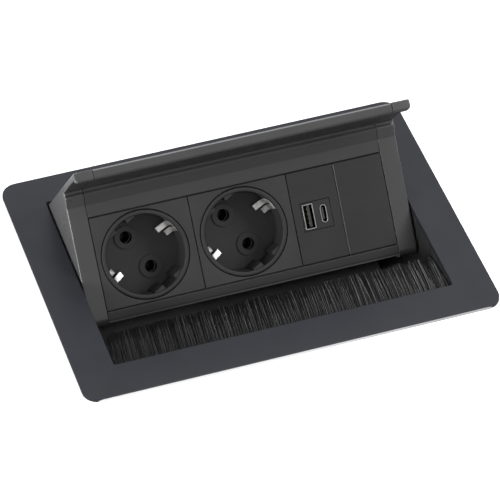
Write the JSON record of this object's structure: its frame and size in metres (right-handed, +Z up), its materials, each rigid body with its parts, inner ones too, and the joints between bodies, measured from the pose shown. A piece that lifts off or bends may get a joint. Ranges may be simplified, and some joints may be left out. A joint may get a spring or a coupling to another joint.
{
  "type": "in-desk power module",
  "caption": "In-desk power module with a tilting housing: earthed sockets, a USB charger insert, a blank insert and a brush strip in a flat frame plate.",
  "frame": {"origin": "middle of the foot print, at the lowest face of the tub", "axes": "+X along the frame plate's long side, to the right as seen from the front; +Y to the rear, where the housing is hinged; +Z up, out of the desk"},
  "size_m": [0.2074, 0.1528, 0.1449],
  "materials": {
    "powder_coat": "fine satin powder coat",
    "sheet_black": "matt black",
    "anodised": "charcoal anodised, fine extrusion lines",
    "cap_plastic": "fine matt grain",
    "insert_plastic": "fine matt grain",
    "inner_plastic": "moulded, matt",
    "bush_plastic": "moulded, smooth",
    "black_plastic": "moulded, matt",
    "bristle": "bristles",
    "zinc": "zinc plated",
    "spring_steel": "plain",
    "nickel": "nickel plated",
    "brass": "plain",
    "rubber": "matt",
    "board": "circuit board",
    "ferrite": "dark, matt"
  },
  "bodies": {
    "tub": {"frame_plate": "powder_coat", "flange_nut_1": "zinc", "flange_nut_2": "zinc", "flange_nut_3": "zinc", "flange_nut_4": "zinc", "cheek_left": "sheet_black", "cheek_right": "sheet_black", "tub_wrap": "sheet_black", "outlet_trim": "rubber", "brush_holder": "anodised", "bristle_strip": "bristle", "pivot_bush_left": "bush_plastic", "pivot_bush_right": "bush_plastic", "friction_washer_left": "spring_steel", "friction_washer_right": "spring_steel", "desk_clip_1": "spring_steel", "desk_clip_2": "spring_steel", "desk_clip_3": "spring_steel", "desk_clip_4": "spring_steel", "clip_rivet_1": "zinc", "clip_rivet_2": "zinc", "clip_rivet_3": "zinc", "clip_rivet_4": "zinc"},
    "housing": {"housing_profile": "anodised", "end_cap_left": "cap_plastic", "end_cap_right": "cap_plastic", "pivot_screw_left": "zinc", "pivot_screw_right": "zinc", "stop_pin_left": "zinc", "stop_pin_right": "zinc", "socket_plate_1": "insert_plastic", "socket_plate_2": "insert_plastic", "socket_cup_1": "insert_plastic", "socket_cup_2": "insert_plastic", "socket_base_1": "black_plastic", "socket_base_2": "black_plastic", "earth_strap_1": "nickel", "earth_strap_2": "nickel", "contact_sleeve_1a": "brass", "contact_sleeve_1b": "brass", "contact_sleeve_2a": "brass", "contact_sleeve_2b": "brass", "usb_cover": "insert_plastic", "usb_port_face": "insert_plastic", "usb_a_shell": "nickel", "usb_a_tongue": "ferrite", "usb_c_shell": "nickel", "usb_c_tongue": "ferrite", "charger_housing": "inner_plastic", "charger_board": "board", "charger_transformer": "ferrite", "blank_insert": "insert_plastic", "busbar_line": "brass", "busbar_earth": "brass", "busbar_neutral": "brass", "terminal_block": "inner_plastic", "cable_gland": "rubber"}
  },
  "joints": [
    {"name": "tilt", "type": "hinge", "parent": "tub", "child": "housing", "pos_m": [0, 0.0508, 0.068], "axis": [1, 0, 0], "range_deg": [0, 52.5]}
  ]
}
